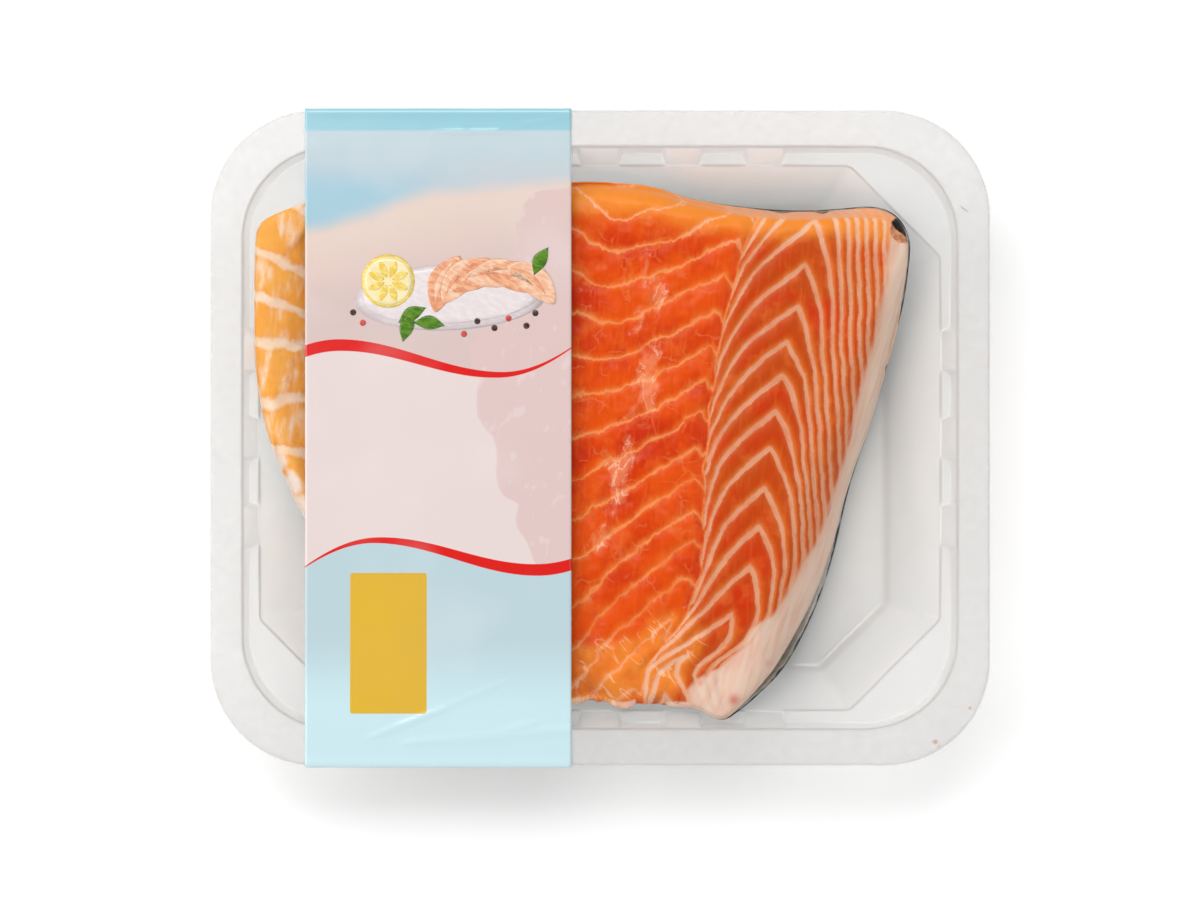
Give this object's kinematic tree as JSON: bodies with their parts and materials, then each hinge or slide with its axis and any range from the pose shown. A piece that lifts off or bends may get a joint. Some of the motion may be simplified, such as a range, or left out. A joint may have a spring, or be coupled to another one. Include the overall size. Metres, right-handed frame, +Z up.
{
  "type": "salmon fillet in a sealed tray",
  "caption": "Raw salmon fillet with its skin on, sealed in a clear formed tray under clear film, with a plain printed band folded over the rim.",
  "frame": {"origin": "under the middle of the tray's base, on the surface it stands on", "axes": "+X along the pack's long side towards the fillet's thick back edge, +Y along its short side towards the straight end cut, +Z up"},
  "size_m": [0.21, 0.1774, 0.0348],
  "materials": {
    "tray_plastic": "clear formed plastic, slightly hazy, glossy",
    "film": "clear thin film, glossy, with faint wrinkles",
    "print": "translucent pale print with coloured fields, glossy",
    "flesh": "raw orange flesh with cream lines, moist",
    "skin": "silver grey scaled skin, darker along the back, moist"
  },
  "bodies": {
    "root": {"tray": "tray_plastic", "lid_film": "film", "printed_band": "print", "fillet_flesh": "flesh", "fillet_skin": "skin"}
  },
  "joints": []
}
